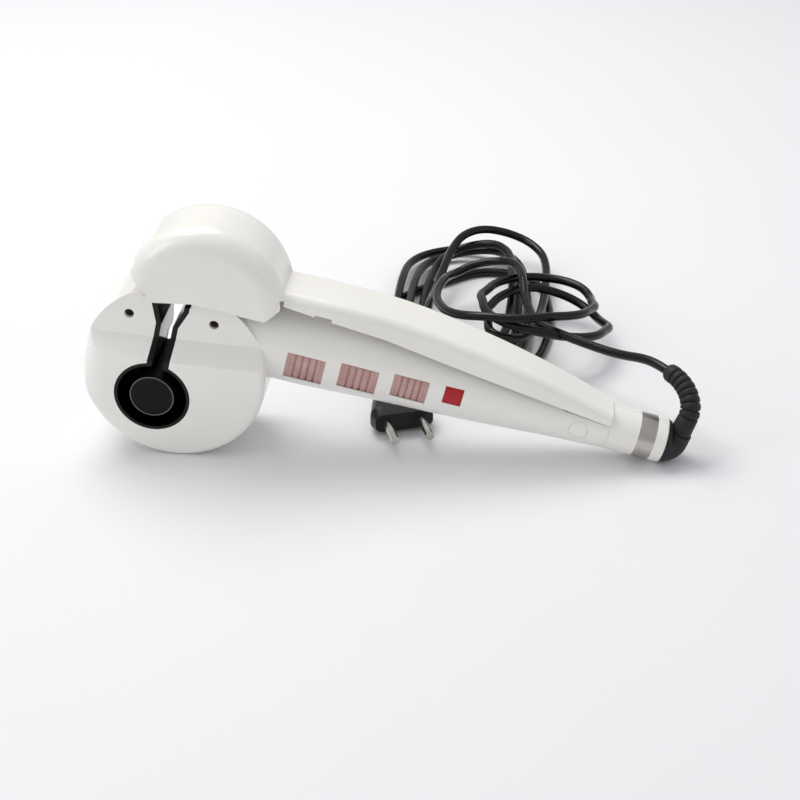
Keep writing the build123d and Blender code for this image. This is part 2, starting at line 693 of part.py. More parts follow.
def elbow():
    """The swivelling elbow: a flanged neck in the end ring and a body that turns up to the cord."""
    neck = rod_x(BAND_END - 3.0, TAIL_END + 0.4, NECK_BORE - 0.1)
    neck = neck + rod_x(BAND_END - 3.0, BAND_END - 0.6, NECK_BORE + 1.6)
    base = Plane((TAIL_END + 0.2, 0, 0), x_dir=(0, 1, 0), z_dir=(1, 0, 0)) * Circle(ELBOW_R)
    outlet = OUTLET_PLANE * Circle(OUTLET_R)
    body = loft([base, outlet])
    return neck + body - rod_x(BAND_END - 10, TAIL_END, CORD_R + 0.2)


LEAN = math.radians(ELBOW_TILT)
OUTLET_PLANE = Plane(
    (TAIL_END + OUTLET_OUT, 0, OUTLET_UP), x_dir=(0, 1, 0), z_dir=(math.cos(LEAN), 0, math.sin(LEAN))
)


def hinge_cover(side):
    near, far = sorted((side * PIN_HALF, side * 30))
    return rod_y(HINGE_X, HINGE_Z, COVER_R - 0.15, near, far) & ENVELOPE


def screw(x, z):
    """A self-tapping screw: head at the bottom of its recess, shank into the far half's boss."""
    seat = -NECK_HALF + 3.5
    head = rod_y(x, z, RECESS_R - 0.2, seat - 1.6, seat)
    head = head - block(x - 1.4, x + 1.4, seat - 2, seat - 0.9, z - 0.3, z + 0.3)
    head = head - block(x - 0.3, x + 0.3, seat - 2, seat - 0.9, z - 1.4, z + 1.4)
    return head + rod_y(x, z, SCREW_R, seat, 9)


def body_screw(x, z):
    return rod_y(x, z, SCREW_R, -9, 9)


# ---------------------------------------------------------------- plug and cord, on the table

TURN = math.radians(PLUG_TURN)
PLUG_DIR = Vector(math.sin(TURN), -math.cos(TURN), 0)
PLUG_SIDE = Vector(math.cos(TURN), math.sin(TURN), 0)
PLUG_MID = Vector(PLUG_FACE[0], PLUG_FACE[1], PLUG_H / 2)


def plug_plane(back):
    """Plane across the plug, a distance behind its face, looking along the pins."""
    return Plane(PLUG_MID - PLUG_DIR * back, x_dir=PLUG_SIDE, z_dir=PLUG_DIR)


def plug_body():
    face = plug_plane(0) * RectangleRounded(PLUG_W - 3, PLUG_H - 5, 4.0)
    wide = plug_plane(6) * RectangleRounded(PLUG_W, PLUG_H, 6.0)
    waist = plug_plane(PLUG_LEN * 0.62) * RectangleRounded(PLUG_W - 9, PLUG_H - 0.5, 6.0)
    rear = plug_plane(PLUG_LEN) * RectangleRounded(12.0, 11.5, 5.0)
    tail = plug_plane(PLUG_LEN + PLUG_TAIL) * Circle(CORD_R + 1.2)
    neck = loft([plug_plane(PLUG_LEN - 1) * Circle(5.4), tail])
    body = loft([face, wide], ruled=True) + loft([wide, waist, rear], ruled=True) + neck
    for centre in pin_centres():
        body = body - extrude(Plane(centre, z_dir=-PLUG_DIR) * Circle(PIN_ROOT_R), PIN_ROOT + 2)
    return body


def pin_centres():
    return [PLUG_MID + PLUG_SIDE * (side * PIN_GAP / 2) for side in (-1, 1)]


def plug_pins():
    pins = []
    for centre in pin_centres():
        root = extrude(Plane(centre - PLUG_DIR * PIN_ROOT, z_dir=PLUG_DIR) * Circle(PIN_ROOT_R), PIN_ROOT)
        pin = extrude(Plane(centre, z_dir=PLUG_DIR) * Circle(PIN_R), PIN_LEN) + root
        tip = pin.edges().filter_by(GeomType.CIRCLE).sort_by(lambda edge: edge.center().dot(PLUG_DIR))[-1]
        pins.append(chamfer(tip, 0.8))
    return Compound(children=[one(pin) for pin in pins])


def route_tube(points, radius, name):
    """A tube along straight runs joined by tangent arcs, each as large as its runs allow."""
    spots = [Vector(*point) for point in points]
    radii = []
    for before, spot, after in zip(spots, spots[1:], spots[2:]):
        turn = math.radians((spot - before).get_angle(after - spot))
        shorter = min((spot - before).length, (after - spot).length)
        radii.append(0.45 * shorter / math.tan(turn / 2))
    print(name, "radii", [round(value, 1) for value in radii])
    path = FilletPolyline(*spots, radius=radii)
    start = Plane(path @ 0, z_dir=path % 0)
    tube = sweep(start * Circle(radius), path=path, transition=Transition.ROUND)
    ratio = tube.volume / (math.pi * radius ** 2 * path.length)
    print(name, "length", round(path.length, 1), "volume ratio", round(ratio, 4))
    return tube


def hank():
    outline = Polyline([(x, y, 0.1) for x, y in HANK_OUTLINE], close=True)
    return extrude(make_face(outline), HANK_H - 0.1, dir=(0, 0, 1))


# ---------------------------------------------------------------- assembly

def build_tool():
    """Every piece of the tool itself, in the tool's frame."""
    nodes = {
        "front_shell": body_shell(-1),
        "rear_shell": body_shell(1),
        "chamber_liner": liner(),
        "heated_barrel": barrel(),
        "barrel_cap": barrel_cap(),
        "heater": heater(),
        "thermal_fuse": thermal_fuse(),
        "winding_rotor": rotor(),
        "idler_gear": gear(IDLER_TEETH, idler_turns(SPREAD)[0], *IDLER_AT, AXLE_R + RUN_GAP),
        "motor_pinion": motor_pinion(),
        "drive_motor": motor(),
        "gear_frame": gear_frame(),
        "arm_shell": arm_shell(),
        "arm_liner": arm_liner(),
        "jaw_insert": jaw_insert(),
        "ion_generator": ion_generator(),
        "hinge_pin": rod_y(HINGE_X, HINGE_Z, HINGE_R, -PIN_HALF, PIN_HALF),
        "hinge_cover_front": hinge_cover(-1),
        "hinge_cover_rear": hinge_cover(1),
        "return_spring": return_spring(),
        "circuit_board": board(),
        "start_switch": start_switch(),
        "start_button": button_solid(0, 0),
        "power_lens": lens(),
        "power_lamp": lamp(),
        "tail_collar": tail_collar(),
        "steel_band": steel_band(),
        "end_ring": end_ring(),
        "cord_elbow": elbow(),
    }
    for name, at, side in (("upper", PINION_AT[0], 1), ("lower", PINION_AT[1], -1)):
        turn = meshed(ROTOR_TEETH, ROTOR_TURN, GEAR_TURN + side * SPREAD, PINION_TEETH)
        nodes[f"drive_pinion_{name}"] = gear(PINION_TEETH, turn, *at, AXLE_R + RUN_GAP)
    for name, (x, z, width, height) in zip(("temperature", "timer", "direction"), WINDOWS):
        nodes[f"{name}_knob"] = knob(x, z, width, height)
        nodes[f"{name}_switch"] = slide_switch(x, z)
    nodes["neck_screws"] = Compound(children=[one(screw(x, z)) for x, z in NECK_SCREWS])
    nodes["body_screws"] = Compound(children=[one(body_screw(x, z)) for x, z in BODY_SCREWS])
    return nodes


def tilt(shape):
    return Rot(0, TILT, 0) * shape


def main():
    os.makedirs("parts", exist_ok=True)
    tool = {name: tilt(shape) for name, shape in build_tool().items()}
    boxes = [shape.bounding_box() for shape in tool.values()]
    low_x = min(box.min.X for box in boxes)
    high_x = max(box.max.X for box in boxes)
    lift = DRUM_R - DRUM_Z * math.cos(math.radians(TILT))
    shift = Pos(-(low_x + high_x) / 2, 0, lift)
    nodes = {name: shift * shape for name, shape in tool.items()}
    outlet = Plane(shift * Rot(0, TILT, 0) * Location(OUTLET_PLANE))
    knee = outlet.origin + outlet.z_dir * BOOT_FIRST_RUN
    nodes["strain_relief"] = route_tube([outlet.origin, knee] + BOOT_ROUTE, BOOT_R, "boot")
    nodes["cord_lead"] = route_tube(LEAD_ROUTE, CORD_R, "lead")
    nodes["cord_tail"] = route_tube(TAIL_ROUTE, CORD_R, "tail")
    nodes["cord_hank"] = hank()
    nodes["plug_body"] = plug_body()
    nodes["plug_pins"] = plug_pins()
    for name, shape in nodes.items():
        export_step(shape, f"parts/{name}.step")
    print("tilt", round(TILT, 3), "shift", shift.position, "spread", SPREAD, "mesh error", mesh_error(SPREAD))
    print("outlet", outlet.origin)


if __name__ == "__main__":
    main()
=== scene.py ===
import bpy
import bmesh
import math
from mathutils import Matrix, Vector


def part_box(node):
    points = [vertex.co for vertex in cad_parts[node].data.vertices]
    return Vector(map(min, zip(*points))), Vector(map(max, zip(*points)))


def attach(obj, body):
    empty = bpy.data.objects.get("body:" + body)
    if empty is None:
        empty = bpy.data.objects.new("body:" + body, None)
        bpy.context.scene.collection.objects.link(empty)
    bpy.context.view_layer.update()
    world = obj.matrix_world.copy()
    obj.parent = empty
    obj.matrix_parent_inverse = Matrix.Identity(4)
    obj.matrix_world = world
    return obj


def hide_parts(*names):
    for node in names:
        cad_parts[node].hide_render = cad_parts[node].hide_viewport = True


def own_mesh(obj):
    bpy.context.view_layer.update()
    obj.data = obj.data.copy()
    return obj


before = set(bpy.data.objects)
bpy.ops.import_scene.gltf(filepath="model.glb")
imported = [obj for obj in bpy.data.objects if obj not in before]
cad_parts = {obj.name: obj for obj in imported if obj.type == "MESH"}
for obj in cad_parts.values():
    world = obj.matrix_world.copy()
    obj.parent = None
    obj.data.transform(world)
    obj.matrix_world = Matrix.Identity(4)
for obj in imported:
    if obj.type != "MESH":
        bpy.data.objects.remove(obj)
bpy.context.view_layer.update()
bpy.ops.object.select_all(action="DESELECT")


# ---------------------------------------------------------------- floor, light and camera
# A matt white card table in a white room, lit by a broad lamp overhead, a smaller one on the left and a weak
# one on the right. Everything is soft, so the shadows are pale pools close under the tool.

def srgb(text):
    """A colour written as sRGB hex, as linear RGBA."""
    parts = [int(text[i:i + 2], 16) / 255 for i in (0, 2, 4)]
    return [v / 12.92 if v <= 0.04045 else ((v + 0.055) / 1.055) ** 2.4 for v in parts] + [1.0]


def add(tree, kind, inputs=None, **settings):
    """Adds a node with its settings; an input is a value, or the socket that it is linked from."""
    node = tree.nodes.new("ShaderNode" + kind)
    for name, value in settings.items():
        setattr(node, name, value)
    for name, value in (inputs or {}).items():
        if isinstance(value, bpy.types.NodeSocket):
            tree.links.new(value, node.inputs[name])
        else:
            node.inputs[name].default_value = value
    return node


def new_material(name, **uniform):
    """A material whose uniform values are set on the shader's own sockets."""
    material = bpy.data.materials.new(name)
    material.use_nodes = True
    shader = material.node_tree.nodes["Principled BSDF"]
    for key, value in uniform.items():
        shader.inputs[key.replace("_", " ")].default_value = value
    return material, material.node_tree, shader


card, tree, shader = new_material("matt_card", Roughness=0.75, Specular_IOR_Level=0.25)
place = add(tree, "TexCoord").outputs["Object"]
grain = add(tree, "TexNoise", {"Vector": place, "Scale": 2.2, "Detail": 3.0})
tones = add(tree, "ValToRGB", {"Fac": grain.outputs["Fac"]})
tones.color_ramp.elements[0].color = srgb("EBEBEE")
tones.color_ramp.elements[1].color = srgb("F0F0F3")
tree.links.new(tones.outputs["Color"], shader.inputs["Base Color"])

bpy.ops.mesh.primitive_plane_add(size=7.0, location=(0, 1.2, 0))
table = bpy.context.active_object
table.name = "table_top"
table.data.materials.append(card)

world = bpy.data.worlds.new("white_room")
bpy.context.scene.world = world
world.use_nodes = True
world.node_tree.nodes["Background"].inputs["Color"].default_value = srgb("F4F5F8")
world.node_tree.nodes["Background"].inputs["Strength"].default_value = 0.60


def soft_lamp(name, place, aim, width, depth, power, tint):
    data = bpy.data.lights.new(name, "AREA")
    data.shape = "RECTANGLE"
    data.size = width
    data.size_y = depth
    data.energy = power
    data.color = srgb(tint)[:3]
    lamp = bpy.data.objects.new(name, data)
    bpy.context.scene.collection.objects.link(lamp)
    lamp.location = place
    lamp.rotation_euler = (Vector(aim) - Vector(place)).to_track_quat("-Z", "Y").to_euler()


soft_lamp("overhead_lamp", (-0.45, 0.45, 1.3), (0, 0.03, 0), 1.1, 0.8, 13.2, "FFFDF9")
soft_lamp("left_lamp", (-1.5, -0.7, 0.9), (-0.05, 0, 0.05), 0.6, 0.9, 3.6, "FFFFFF")
soft_lamp("right_lamp", (1.4, -0.5, 0.8), (0.05, 0, 0.05), 0.5, 0.9, 0.9, "F8FAFF")

CAMERA_AT = Vector((0.0802, -0.7066, 0.4613))
CAMERA_AIM = Vector((0.0052, 0.0, 0.0273))
camera_data = bpy.data.cameras.new("camera")
camera_data.lens = 71.0
camera_data.sensor_width = 36.0
camera = bpy.data.objects.new("camera", camera_data)
bpy.context.scene.collection.objects.link(camera)
camera.location = CAMERA_AT
camera.rotation_euler = (CAMERA_AIM - CAMERA_AT).to_track_quat("-Z", "Y").to_euler()
bpy.context.scene.camera = camera
bpy.context.scene.view_settings.view_transform = "Standard"


# ---------------------------------------------------------------- mains cord
# Two-core round PVC flex, 5.2 mm, black and glossy, 2.6 m from elbow to plug. It leaves the boot high,
# falls on to a loosely gathered hank behind the handle, and comes back along the table to the plug.

CORD = 0.0052


def mm(*values):
    return Vector(values) / 1000


# boot and lead, from the elbow's outlet to where the cord comes down on the hank
OUTLET = mm(152.6, 0.0, 17.23)
OUTLET_DIR = Vector((0.40477, 0.0, 0.91441))
BOOT_FIRST_RUN = 0.0115
BOOT_END = mm(145.0, 23.0, 40.4)
lead = [OUTLET, OUTLET + OUTLET_DIR * BOOT_FIRST_RUN, mm(156.0, 7.6, 35.6), mm(151.0, 15.5, 39.8), BOOT_END]
lead += [mm(134.8, 35.6, 39.8), mm(120.5, 47.5, 34.6), mm(104.5, 61.5, 31.8), mm(88.0, 77.0, 29.4)]
lead += [mm(73.5, 95.0, 26.0)]

# from the plug along the table to the hank's lowest turn
tail = [mm(-9.6, 54.7, 7.6), mm(-14.5, 67.5, 4.6), mm(-20.5, 82.5, 2.7), mm(-25, 100.5, 2.7)]
tail += [mm(-26, 121, 2.7), mm(-22, 142, 2.7), mm(-12.5, 160.5, 2.7), mm(1.5, 176, 2.7), mm(16.5, 188.5, 2.7)]

# The hank's turns from the lowest up: middle x and y, half width, half length and lean, in millimetres. Each
# is one oval turn of the cord, laid clockwise, and the last is only the part that runs into the lead.
TURNS = [
    (45, 138, 34, 66, 0),
    (28, 150, 37, 82, -4),
    (29, 149, 30, 75, -2),
    (31, 148, 24, 68, 0),
    (44, 152, 30, 74, 6),
    (80, 112, 34, 37, 0),
    (74, 118, 31, 40, 4),
    (40, 122, 23, 46, 0),
]
STEPS = 24               # control points in each turn
FIRST_STEP = 5           # the tail joins the first turn near its far end
LAST_STEP = 13            # the lead leaves the last one before its far end
BLEND_SHARE = 0.45       # the last part of each turn, in which it drifts into the next
BOW = 3.0                # how far the long sides bow out


def turn_point(sizes, step):
    """A point of an oval turn: two half circles and two bowed sides, clockwise from the left middle."""
    x, y, across, along, lean = sizes
    straight = along - across
    bend = math.pi * across
    walk = (step / STEPS % 1.0) * (4 * straight + 2 * bend)
    if walk < straight:
        right, up = -across, walk
    elif walk < straight + bend:
        angle = math.pi - (walk - straight) / across
        right, up = across * math.cos(angle), straight + across * math.sin(angle)
    elif walk < 3 * straight + bend:
        right, up = across, 2 * straight + bend - walk
    elif walk < 3 * straight + 2 * bend:
        angle = -(walk - 3 * straight - bend) / across
        right, up = across * math.cos(angle), -straight + across * math.sin(angle)
    else:
        right, up = -across, walk - 4 * straight - 2 * bend
    bow = BOW * max(0.0, 1 - (up / max(straight, 1)) ** 2) * (1 if right > 0 else -1)
    return mm(x + right + bow + lean * up / along, y + up, 0)


winding = []
for number, sizes in enumerate(TURNS):
    after = TURNS[number + 1] if number + 1 < len(TURNS) else sizes
    first = FIRST_STEP if number == 0 else 0
    last = LAST_STEP if number + 1 == len(TURNS) else STEPS
    for step in range(first, last):
        share = max(0.0, (step / STEPS - 1 + BLEND_SHARE) / BLEND_SHARE)
        share = share * share * (3 - 2 * share)
        winding.append(turn_point(sizes, step).lerp(turn_point(after, step), share))

# The cord is laid down in order: each point rests on whatever already lies under it, and the cord is too
# stiff to climb or fall faster than a gentle slope.
laid = tail + winding + lead[::-1]
LAY_REACH = 1.02 * CORD  # two cords nearer than this, seen from above, lie on each other
LAY_RISE = 1.04 * CORD   # from the axis of one to the axis of the next
SLOPE = 0.24
SPLITS = 5               # tests along each run
OWN = 3                  # a cord isn't tested against its own last few runs
TABLE_REST = CORD / 2 + 0.0001    # the axis of a cord that lies on the table
heights = [point.z for point in tail]
seen = []                # tested places: x, y, height, number of the run


def test_places(a, b):
    return [a.lerp(b, part / SPLITS) for part in range(SPLITS)]


for number in range(len(tail), len(tail) + len(winding)):
    heights.append(TABLE_REST)
    lowest = TABLE_REST
    for place in test_places(laid[number - 1], laid[number]) + test_places(laid[number], laid[number + 1]):
        for x, y, run in seen:
            if run < number - OWN and (place.x - x) ** 2 + (place.y - y) ** 2 < LAY_REACH ** 2:
                under = max(heights[run - 1], heights[run])
                lowest = max(lowest, under + LAY_RISE)
    gap = (laid[number].xy - laid[number - 1].xy).length
    heights[number] = max(lowest, heights[number - 1] - SLOPE * gap)
    back = number - 1
    while back > len(tail):
        least = heights[back + 1] - SLOPE * (laid[back + 1].xy - laid[back].xy).length
        if heights[back] >= least:
            break
        heights[back] = least
        back -= 1
    # and the last two points are lifted out of any dip, which makes the humps long and low
    for near in (number - 1, number - 2):
        if near > len(tail):
            heights[near] = max(heights[near], (heights[near - 1] + heights[near + 1]) / 2)
    seen += [(place.x, place.y, number) for place in test_places(laid[number - 1], laid[number])]
    if number == len(tail):
        for early in range(1, len(tail)):
            seen += [(place.x, place.y, early) for place in test_places(laid[early - 1], laid[early])]

route = lead + [
    Vector((laid[number].x, laid[number].y, heights[number]))
    for number in range(len(tail) + len(winding) - 1, len(tail) - 1, -1)
]
route += tail[::-1]

curve = bpy.data.curves.new("mains_cord", "CURVE")
curve.dimensions = "3D"
spline = curve.splines.new("NURBS")
spline.points.add(len(route) - 1)
for point, place in zip(spline.points, route):
    point.co = (*place, 1.0)
spline.order_u = 3
spline.use_endpoint_u = True
curve.resolution_u = 8
bare = bpy.data.objects.new("bare_line", curve)
line_mesh = bpy.data.meshes.new_from_object(bare)
line = [vertex.co.copy() for vertex in line_mesh.vertices]
bpy.data.objects.remove(bare)
bpy.data.meshes.remove(line_mesh)
curve.bevel_depth = CORD / 2
curve.bevel_resolution = 5
curve.use_fill_caps = True
cord = bpy.data.objects.new("mains_cord", curve)
bpy.context.scene.collection.objects.link(cord)

# Soft extruded PVC: black, with the clear gloss of the die and a faint waviness along it.
cord_pvc, tree, shader = new_material("black_extruded_pvc", IOR=1.45, Specular_IOR_Level=0.4)
place = add(tree, "TexCoord").outputs["Object"]
cloud = add(tree, "TexNoise", {"Vector": place, "Scale": 60.0, "Detail": 3.0})
tones = add(tree, "ValToRGB", {"Fac": cloud.outputs["Fac"]})
tones.color_ramp.elements[0].color = srgb("060607")
tones.color_ramp.elements[1].color = srgb("0C0C0E")
tree.links.new(tones.outputs["Color"], shader.inputs["Base Color"])
wave = add(tree, "TexNoise", {"Vector": place, "Scale": 220.0, "Detail": 2.0})
bump = add(tree, "Bump", {"Height": wave.outputs["Fac"], "Strength": 0.06, "Distance": 0.0006})
tree.links.new(bump.outputs["Normal"], shader.inputs["Normal"])
gloss = add(tree, "MapRange", {"Value": cloud.outputs["Fac"], "To Min": 0.16, "To Max": 0.26})
tree.links.new(gloss.outputs["Result"], shader.inputs["Roughness"])
cord.data.materials.append(cord_pvc)
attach(cord, "root")
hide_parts("cord_lead", "cord_tail", "cord_hank")


def tube_along(name, points, profile, sides):
    """A closed mesh of rings about a line; profile gives (distance along, radius) from end to end."""
    walk = [0.0]
    for a, b in zip(points, points[1:]):
        walk.append(walk[-1] + (b - a).length)

    def at(distance):
        for number in range(len(points) - 1):
            if walk[number + 1] >= distance or number == len(points) - 2:
                a, b = points[number], points[number + 1]
                share = (distance - walk[number]) / max(walk[number + 1] - walk[number], 1e-9)
                return a + (b - a) * share

    mesh = bmesh.new()
    side = None
    rings = []
    for distance, radius in profile:
        middle = at(distance)
        ahead = (at(distance + 0.0015) - at(max(distance - 0.0015, 0.0))).normalized()
        side = ahead.orthogonal() if side is None else side - ahead * side.dot(ahead)
        side = side.normalized()
        other = ahead.cross(side)
        ring = []
        for step in range(sides):
            angle = 2 * math.pi * step / sides
            spot = middle + (side * math.cos(angle) + other * math.sin(angle)) * radius
            ring.append(mesh.verts.new(spot))
        rings.append(ring)
    for low, high in zip(rings, rings[1:]):
        for step in range(sides):
            after = (step + 1) % sides
            mesh.faces.new((low[step], low[after], high[after], high[step]))
    mesh.faces.new(rings[0][::-1])
    mesh.faces.new(rings[-1])
    data = bpy.data.meshes.new(name)
    mesh.to_mesh(data)
    mesh.free()
    piece = bpy.data.objects.new(name, data)
    bpy.context.scene.collection.objects.link(piece)
    return piece


# ---------------------------------------------------------------- strain relief
# The boot on the elbow: matt black TPE, moulded over the cord. A plain collar at its foot, eight ribs with
# thin slots between them so that it bends, and a small end collar where the cord comes out.

BOOT_LENGTH = 0.0405
BOOT_R = 0.0056
COLLAR_SHARE = 0.24
RIBS = 8
SLOT_WIDTH = 0.0007
SLOT_DEPTH = 0.0010


def boot_radius(share):
    return BOOT_R * (1.0 - 0.12 * share)


profile = [(0.0, BOOT_R * 0.96), (0.0006, BOOT_R)]
rib_start = BOOT_LENGTH * COLLAR_SHARE
rib_pitch = (BOOT_LENGTH * 0.93 - rib_start) / RIBS
for rib in range(RIBS):
    begin = rib_start + rib * rib_pitch
    radius = boot_radius(begin / BOOT_LENGTH)
    profile += [
        (begin - SLOT_WIDTH * 0.9, radius - 0.00012),
        (begin - SLOT_WIDTH * 0.5, radius - 0.0004),
        (begin - SLOT_WIDTH * 0.4, radius - SLOT_DEPTH),
        (begin + SLOT_WIDTH * 0.4, radius - SLOT_DEPTH),
        (begin + SLOT_WIDTH * 0.5, radius - 0.0004),
        (begin + SLOT_WIDTH * 0.9, radius - 0.00012),
        (begin + rib_pitch * 0.5, radius),
    ]
tip = boot_radius(1.0)
profile += [(BOOT_LENGTH - 0.0022, tip), (BOOT_LENGTH - 0.0012, tip * 0.96)]
profile += [(BOOT_LENGTH - 0.0004, tip * 0.86)]
profile += [(BOOT_LENGTH, tip * 0.72), (BOOT_LENGTH + 0.0002, CORD / 2 + 0.0002)]
boot = tube_along("strain_relief_boot", line, profile, 48)

# Black thermoplastic rubber: a matt spark-eroded surface, slightly grey where it catches the light.
boot_rubber, tree, shader = new_material(
    "black_tpe_rubber", IOR=1.5, Specular_IOR_Level=0.35, Sheen_Weight=0.04, Sheen_Roughness=0.5,
)
place = add(tree, "TexCoord").outputs["Object"]
cloud = add(tree, "TexNoise", {"Vector": place, "Scale": 90.0, "Detail": 4.0})
tones = add(tree, "ValToRGB", {"Fac": cloud.outputs["Fac"]})
tones.color_ramp.elements[0].color = srgb("161618")
tones.color_ramp.elements[1].color = srgb("202023")
tree.links.new(tones.outputs["Color"], shader.inputs["Base Color"])
spark = add(tree, "TexNoise", {"Vector": place, "Scale": 2600.0, "Detail": 2.0})
bump = add(tree, "Bump", {"Height": spark.outputs["Fac"], "Strength": 0.25, "Distance": 0.0001})
tree.links.new(bump.outputs["Normal"], shader.inputs["Normal"])
gloss = add(tree, "MapRange", {"Value": cloud.outputs["Fac"], "To Min": 0.5, "To Max": 0.7})
tree.links.new(gloss.outputs["Result"], shader.inputs["Roughness"])
boot.data.materials.append(boot_rubber)
boot.data.polygons.foreach_set("use_smooth", [True] * len(boot.data.polygons))
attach(boot, "root")
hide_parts("strain_relief")


def dress(material, *names):
    """Gives CAD nodes a material."""
    for name in names:
        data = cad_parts[name].data
        data.materials.clear()
        data.materials.append(material)


# ---------------------------------------------------------------- plug
# A two-pin contour plug for class II tools: PVC moulded over two hollow nickel-plated pins.

plug_pvc, tree, shader = new_material("black_moulded_pvc", Roughness=0.36, IOR=1.5, Specular_IOR_Level=0.35)
place = add(tree, "TexCoord").outputs["Object"]
cloud = add(tree, "TexNoise", {"Vector": place, "Scale": 70.0, "Detail": 4.0})
tones = add(tree, "ValToRGB", {"Fac": cloud.outputs["Fac"]})
tones.color_ramp.elements[0].color = srgb("0A0A0B")
tones.color_ramp.elements[1].color = srgb("121213")
tree.links.new(tones.outputs["Color"], shader.inputs["Base Color"])
spark = add(tree, "TexNoise", {"Vector": place, "Scale": 1800.0, "Detail": 2.0})
bump = add(tree, "Bump", {"Height": spark.outputs["Fac"], "Strength": 0.2, "Distance": 0.0001})
tree.links.new(bump.outputs["Normal"], shader.inputs["Normal"])
dress(plug_pvc, "plug_body")

nickel, tree, shader = new_material("nickel_plated_brass", Metallic=1.0, Roughness=0.2)
place = add(tree, "TexCoord").outputs["Object"]
cloud = add(tree, "TexNoise", {"Vector": place, "Scale": 240.0, "Detail": 4.0})
tones = add(tree, "ValToRGB", {"Fac": cloud.outputs["Fac"]})
tones.color_ramp.elements[0].color = srgb("B9B4AA")
tones.color_ramp.elements[1].color = srgb("D8D5CE")
tree.links.new(tones.outputs["Color"], shader.inputs["Base Color"])
gloss = add(tree, "MapRange", {"Value": cloud.outputs["Fac"], "To Min": 0.14, "To Max": 0.3})
tree.links.new(gloss.outputs["Result"], shader.inputs["Roughness"])
dress(nickel, "plug_pins")


# ---------------------------------------------------------------- shells
# The body's halves, the arm, the hinge covers, the tail collar and the end ring: ABS, in a warm white
# with mica in it, which gives the pearl. The mould's polish leaves a clear, slightly wavy reflection.

pearl, tree, shader = new_material("pearl_white_abs", IOR=1.54, Coat_Weight=0.6, Coat_Roughness=0.08)
place = add(tree, "TexCoord").outputs["Object"]
cloud = add(tree, "TexNoise", {"Vector": place, "Scale": 16.0, "Detail": 4.0, "Roughness": 0.6})
tones = add(tree, "ValToRGB", {"Fac": cloud.outputs["Fac"]})
tones.color_ramp.elements[0].position = 0.3
tones.color_ramp.elements[0].color = srgb("EFEDE6")
tones.color_ramp.elements[1].position = 0.7
tones.color_ramp.elements[1].color = srgb("F5F3ED")
tree.links.new(tones.outputs["Color"], shader.inputs["Base Color"])
# mica flakes, 0.1 mm across, drawn at 0.5 mm so that they show
flakes = add(tree, "TexVoronoi", {"Vector": place, "Scale": 2000.0})
distance = flakes.outputs["Distance"]
glints = add(tree, "MapRange", {"Value": distance, "From Max": 0.8, "To Min": 0.26, "To Max": 0.34})
tree.links.new(glints.outputs["Result"], shader.inputs["Roughness"])
ripple = add(tree, "TexNoise", {"Vector": place, "Scale": 38.0, "Detail": 2.0})
bump = add(tree, "Bump", {"Height": ripple.outputs["Fac"], "Strength": 0.05, "Distance": 0.0005})
tree.links.new(bump.outputs["Normal"], shader.inputs["Normal"])
dress(pearl, "front_shell", "rear_shell", "arm_shell", "tail_collar", "end_ring")
dress(pearl, "hinge_cover_front", "hinge_cover_rear")

# The arm's inner cover isn't seen from outside and has the mould's plain matt face.
inner_white, tree, shader = new_material("matt_white_abs", Roughness=0.5, IOR=1.54)
place = add(tree, "TexCoord").outputs["Object"]
cloud = add(tree, "TexNoise", {"Vector": place, "Scale": 40.0, "Detail": 4.0})
tones = add(tree, "ValToRGB", {"Fac": cloud.outputs["Fac"]})
tones.color_ramp.elements[0].color = srgb("DAD8D2")
tones.color_ramp.elements[1].color = srgb("E6E4DF")
tree.links.new(tones.outputs["Color"], shader.inputs["Base Color"])
spark = add(tree, "TexNoise", {"Vector": place, "Scale": 2200.0, "Detail": 2.0})
bump = add(tree, "Bump", {"Height": spark.outputs["Fac"], "Strength": 0.15, "Distance": 0.0001})
tree.links.new(bump.outputs["Normal"], shader.inputs["Normal"])
dress(inner_white, "arm_liner")


# ---------------------------------------------------------------- curl chamber
# The keyhole lining, the winder and the hair pusher are black glass-filled PPS, which stands the heat. The
# mould is polished, so the slot's walls mirror each other down into the chamber.

black_pps, tree, shader = new_material("black_filled_pps", IOR=1.5, Specular_IOR_Level=0.25)
place = add(tree, "TexCoord").outputs["Object"]
cloud = add(tree, "TexNoise", {"Vector": place, "Scale": 60.0, "Detail": 4.0})
tones = add(tree, "ValToRGB", {"Fac": cloud.outputs["Fac"]})
tones.color_ramp.elements[0].color = srgb("030303")
tones.color_ramp.elements[1].color = srgb("070708")
tree.links.new(tones.outputs["Color"], shader.inputs["Base Color"])
gloss = add(tree, "MapRange", {"Value": cloud.outputs["Fac"], "To Min": 0.12, "To Max": 0.2})
tree.links.new(gloss.outputs["Result"], shader.inputs["Roughness"])
glass = add(tree, "TexNoise", {"Vector": place, "Scale": 1500.0, "Detail": 2.0})
bump = add(tree, "Bump", {"Height": glass.outputs["Fac"], "Strength": 0.06, "Distance": 0.0001})
tree.links.new(bump.outputs["Normal"], shader.inputs["Normal"])
dress(black_pps, "jaw_insert", "chamber_liner", "winding_rotor")

# The barrel is drawn aluminium with a fired ceramic coat, dark grey, slightly rough.
coat, tree, shader = new_material("fired_ceramic_coat", IOR=1.5, Specular_IOR_Level=0.2)
place = add(tree, "TexCoord").outputs["Object"]
cloud = add(tree, "TexNoise", {"Vector": place, "Scale": 300.0, "Detail": 4.0})
tones = add(tree, "ValToRGB", {"Fac": cloud.outputs["Fac"]})
tones.color_ramp.elements[0].color = srgb("0D0D0F")
tones.color_ramp.elements[1].color = srgb("151517")
tree.links.new(tones.outputs["Color"], shader.inputs["Base Color"])
gloss = add(tree, "MapRange", {"Value": cloud.outputs["Fac"], "To Min": 0.4, "To Max": 0.55})
tree.links.new(gloss.outputs["Result"], shader.inputs["Roughness"])
dress(coat, "heated_barrel")


